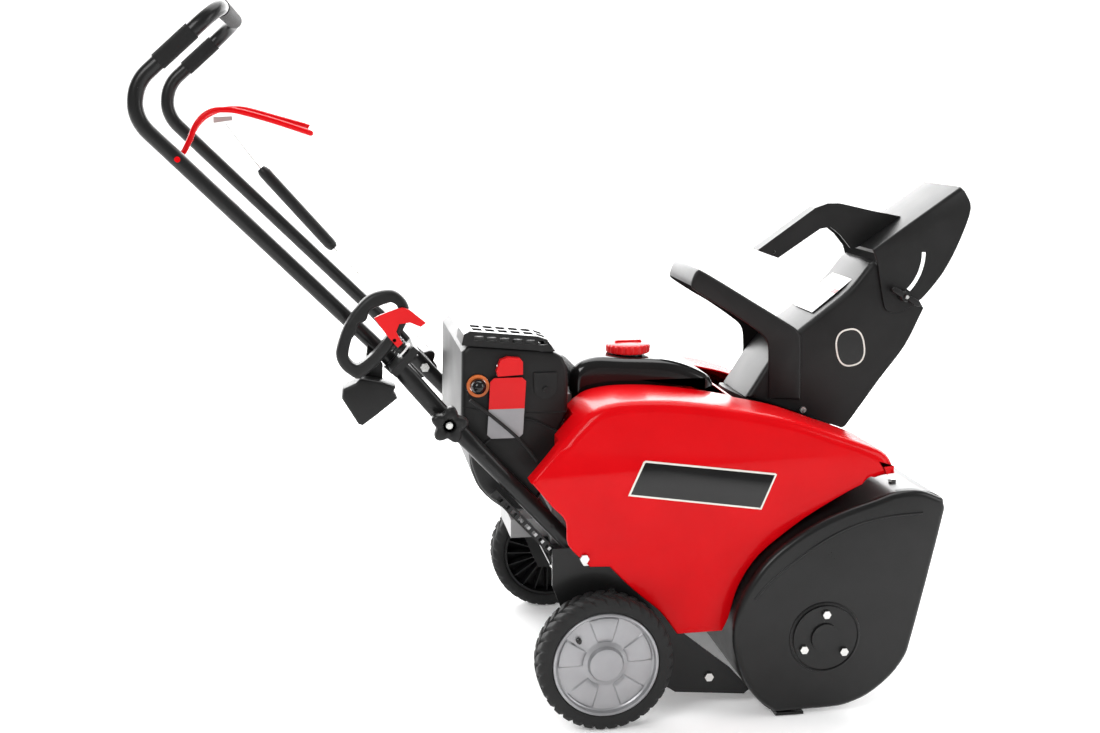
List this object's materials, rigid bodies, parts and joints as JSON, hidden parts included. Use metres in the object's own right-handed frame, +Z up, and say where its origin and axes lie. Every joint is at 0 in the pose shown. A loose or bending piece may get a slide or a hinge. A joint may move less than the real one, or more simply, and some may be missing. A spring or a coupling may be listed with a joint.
{
  "type": "single stage snowblower",
  "caption": "Walk-behind single-stage snow thrower with a rubber paddle auger, turning discharge chute, petrol engine under a hood and a folding tube handle.",
  "frame": {"origin": "centre of the footprint, on the ground the wheels and scraper rest on", "axes": "+X to the front where the auger is, +Y to the machine's left, +Z up"},
  "size_m": [1.2788, 0.596, 1.0514],
  "materials": {
    "auger_housing": "satin",
    "discharge_neck": "satin",
    "scraper_bar": "satin",
    "side_rails": "satin",
    "engine_deck": "satin",
    "axle": "satin",
    "bearing_flanges": "satin",
    "flange_bolts": "satin",
    "hood": "gloss",
    "hood_badges": "gloss",
    "frame_bolts": "satin",
    "chute_seat": "gloss",
    "lower_handle": "satin",
    "ladder_strips": "satin",
    "handle_bolts": "satin",
    "engine_core": "matte",
    "engine_cover": "satin",
    "cover_boss": "satin",
    "muffler": "satin",
    "muffler_guard": "satin",
    "fuel_tank": "gloss",
    "filler_neck": "gloss",
    "primer_ring": "satin",
    "instruction_tag": "matte",
    "belt_cover": "satin",
    "drive_belt": "matte",
    "control_cable": "satin",
    "stay_rods": "satin",
    "tyre_right": "matte",
    "wheel_disc_right": "satin",
    "tyre_left": "matte",
    "wheel_disc_left": "satin",
    "auger_shaft": "satin",
    "auger_paddles": "matte",
    "auger_pulley": "satin",
    "crank_pulley": "satin",
    "idler_arm": "satin",
    "idler_pulley": "satin",
    "chute_collar": "satin",
    "chute_body": "satin",
    "chute_handle": "satin",
    "deflector_bolts": "satin",
    "deflector": "satin",
    "deflector_handle": "satin",
    "wing_knob": "satin",
    "upper_handle": "satin",
    "foam_grip": "matte",
    "console_box": "satin",
    "grip_bracket": "satin",
    "clutch_wire": "satin",
    "spring_cover": "satin",
    "bail_rod": "gloss",
    "bail_tab": "satin",
    "control_grip": "satin",
    "trigger": "gloss",
    "star_knob_right": "satin",
    "star_knob_left": "satin",
    "fuel_cap": "gloss",
    "primer_bulb": "gloss",
    "engine_key": "gloss"
  },
  "bodies": {
    "chassis": {"auger_housing": "auger_housing", "discharge_neck": "discharge_neck", "scraper_bar": "scraper_bar", "side_rails": "side_rails", "engine_deck": "engine_deck", "axle": "axle", "bearing_flanges": "bearing_flanges", "flange_bolts": "flange_bolts", "hood": "hood", "hood_badges": "hood_badges", "frame_bolts": "frame_bolts", "chute_seat": "chute_seat", "lower_handle": "lower_handle", "ladder_strips": "ladder_strips", "handle_bolts": "handle_bolts", "engine_core": "engine_core", "engine_cover": "engine_cover", "cover_boss": "cover_boss", "muffler": "muffler", "muffler_guard": "muffler_guard", "fuel_tank": "fuel_tank", "filler_neck": "filler_neck", "primer_ring": "primer_ring", "instruction_tag": "instruction_tag", "belt_cover": "belt_cover", "drive_belt": "drive_belt", "control_cable": "control_cable", "stay_rods": "stay_rods"},
    "wheel_right": {"tyre_right": "tyre_right", "wheel_disc_right": "wheel_disc_right"},
    "wheel_left": {"tyre_left": "tyre_left", "wheel_disc_left": "wheel_disc_left"},
    "auger": {"auger_shaft": "auger_shaft", "auger_paddles": "auger_paddles", "auger_pulley": "auger_pulley"},
    "crank": {"crank_pulley": "crank_pulley"},
    "idler": {"idler_arm": "idler_arm"},
    "idler_wheel": {"idler_pulley": "idler_pulley"},
    "chute": {"chute_collar": "chute_collar", "chute_body": "chute_body", "chute_handle": "chute_handle", "deflector_bolts": "deflector_bolts"},
    "chute_cap": {"deflector": "deflector", "deflector_handle": "deflector_handle"},
    "cap_knob": {"wing_knob": "wing_knob"},
    "upper": {"upper_handle": "upper_handle", "foam_grip": "foam_grip", "console_box": "console_box", "grip_bracket": "grip_bracket", "clutch_wire": "clutch_wire", "spring_cover": "spring_cover"},
    "bail": {"bail_rod": "bail_rod", "bail_tab": "bail_tab"},
    "grip": {"control_grip": "control_grip"},
    "grip_trigger": {"trigger": "trigger"},
    "knob_right": {"star_knob_right": "star_knob_right"},
    "knob_left": {"star_knob_left": "star_knob_left"},
    "cap": {"fuel_cap": "fuel_cap"},
    "primer": {"primer_bulb": "primer_bulb"},
    "key": {"engine_key": "engine_key"}
  },
  "joints": [
    {"name": "wheel_right_turn", "type": "hinge", "parent": "chassis", "child": "wheel_right", "pos_m": [0.0064, -0.273, 0.1016], "axis": [0, 1, 0], "continuous": true},
    {"name": "wheel_left_turn", "type": "hinge", "parent": "chassis", "child": "wheel_left", "pos_m": [0.0064, 0.273, 0.1016], "axis": [0, 1, 0], "continuous": true},
    {"name": "auger_turn", "type": "hinge", "parent": "chassis", "child": "auger", "pos_m": [0.3404, 0, 0.123], "axis": [0, 1, 0], "continuous": true},
    {"name": "crank_turn", "type": "hinge", "parent": "chassis", "child": "crank", "pos_m": [0.0264, 0.2, 0.31], "axis": [0, 1, 0], "continuous": true},
    {"name": "idler_swing", "type": "hinge", "parent": "chassis", "child": "idler", "pos_m": [0.1264, 0.268, 0.236], "axis": [0, 1, 0], "range_deg": [-7, 0]},
    {"name": "idler_turn", "type": "hinge", "parent": "idler", "child": "idler_wheel", "pos_m": [0.1764, 0.277, 0.268], "axis": [0, 1, 0], "continuous": true},
    {"name": "chute_turn", "type": "hinge", "parent": "chassis", "child": "chute", "pos_m": [0.3444, 0, 0.414], "axis": [0.3256, 0, 0.9455], "range_deg": [-75, 75]},
    {"name": "deflector_tilt", "type": "hinge", "parent": "chute", "child": "chute_cap", "pos_m": [0.4804, 0, 0.672], "axis": [0, 1, 0], "range_deg": [0, 50]},
    {"name": "wing_knob_turn", "type": "hinge", "parent": "chute", "child": "cap_knob", "pos_m": [0.53035, -0.085, 0.60571], "axis": [0, 1, 0], "continuous": true},
    {"name": "handle_fold", "type": "hinge", "parent": "chassis", "child": "upper", "pos_m": [-0.2156, 0, 0.46], "axis": [0, 1, 0], "range_deg": [-80, 0]},
    {"name": "bail_swing", "type": "hinge", "parent": "upper", "child": "bail", "pos_m": [-0.5846, 0, 0.8435], "axis": [-0.035, 0.9988, 0.0329], "range_deg": [-57, 0], "stiffness_Nm_per_rad": 0.3, "springref_deg": 11.46},
    {"name": "grip_turn", "type": "hinge", "parent": "upper", "child": "grip", "pos_m": [-0.3146, -0.28, 0.6055], "axis": [0.7431, 0, -0.6691], "range_deg": [-25, 25]},
    {"name": "trigger_press", "type": "hinge", "parent": "grip", "child": "grip_trigger", "pos_m": [-0.29294, -0.295, 0.5907], "axis": [0, 1, 0], "range_deg": [0, 8], "stiffness_Nm_per_rad": 0.1, "springref_deg": -5.73},
    {"name": "star_knob_right_turn", "type": "hinge", "parent": "chassis", "child": "knob_right", "pos_m": [-0.2156, -0.25, 0.46], "axis": [0, 1, 0], "continuous": true},
    {"name": "star_knob_left_turn", "type": "hinge", "parent": "chassis", "child": "knob_left", "pos_m": [-0.2156, 0.25, 0.46], "axis": [0, 1, 0], "continuous": true},
    {"name": "fuel_cap_turn", "type": "hinge", "parent": "chassis", "child": "cap", "pos_m": [0.0824, -0.07, 0.533], "axis": [0, 0, 1], "continuous": true},
    {"name": "primer_press", "type": "slide", "parent": "chassis", "child": "primer", "axis": [0, 1, 0], "range_m": [0, 0.006], "stiffness_N_per_m": 600, "springref_m": -0.001},
    {"name": "key_pull", "type": "slide", "parent": "chassis", "child": "key", "axis": [0, -1, 0], "range_m": [0, 0.012]}
  ],
  "couplings": [
    {"joint": "crank_turn", "follows": "auger_turn", "ratio": 2.5},
    {"joint": "grip_turn", "follows": "chute_turn", "ratio": 0.3333},
    {"joint": "idler_swing", "follows": "bail_swing", "ratio": 0.112}
  ]
}
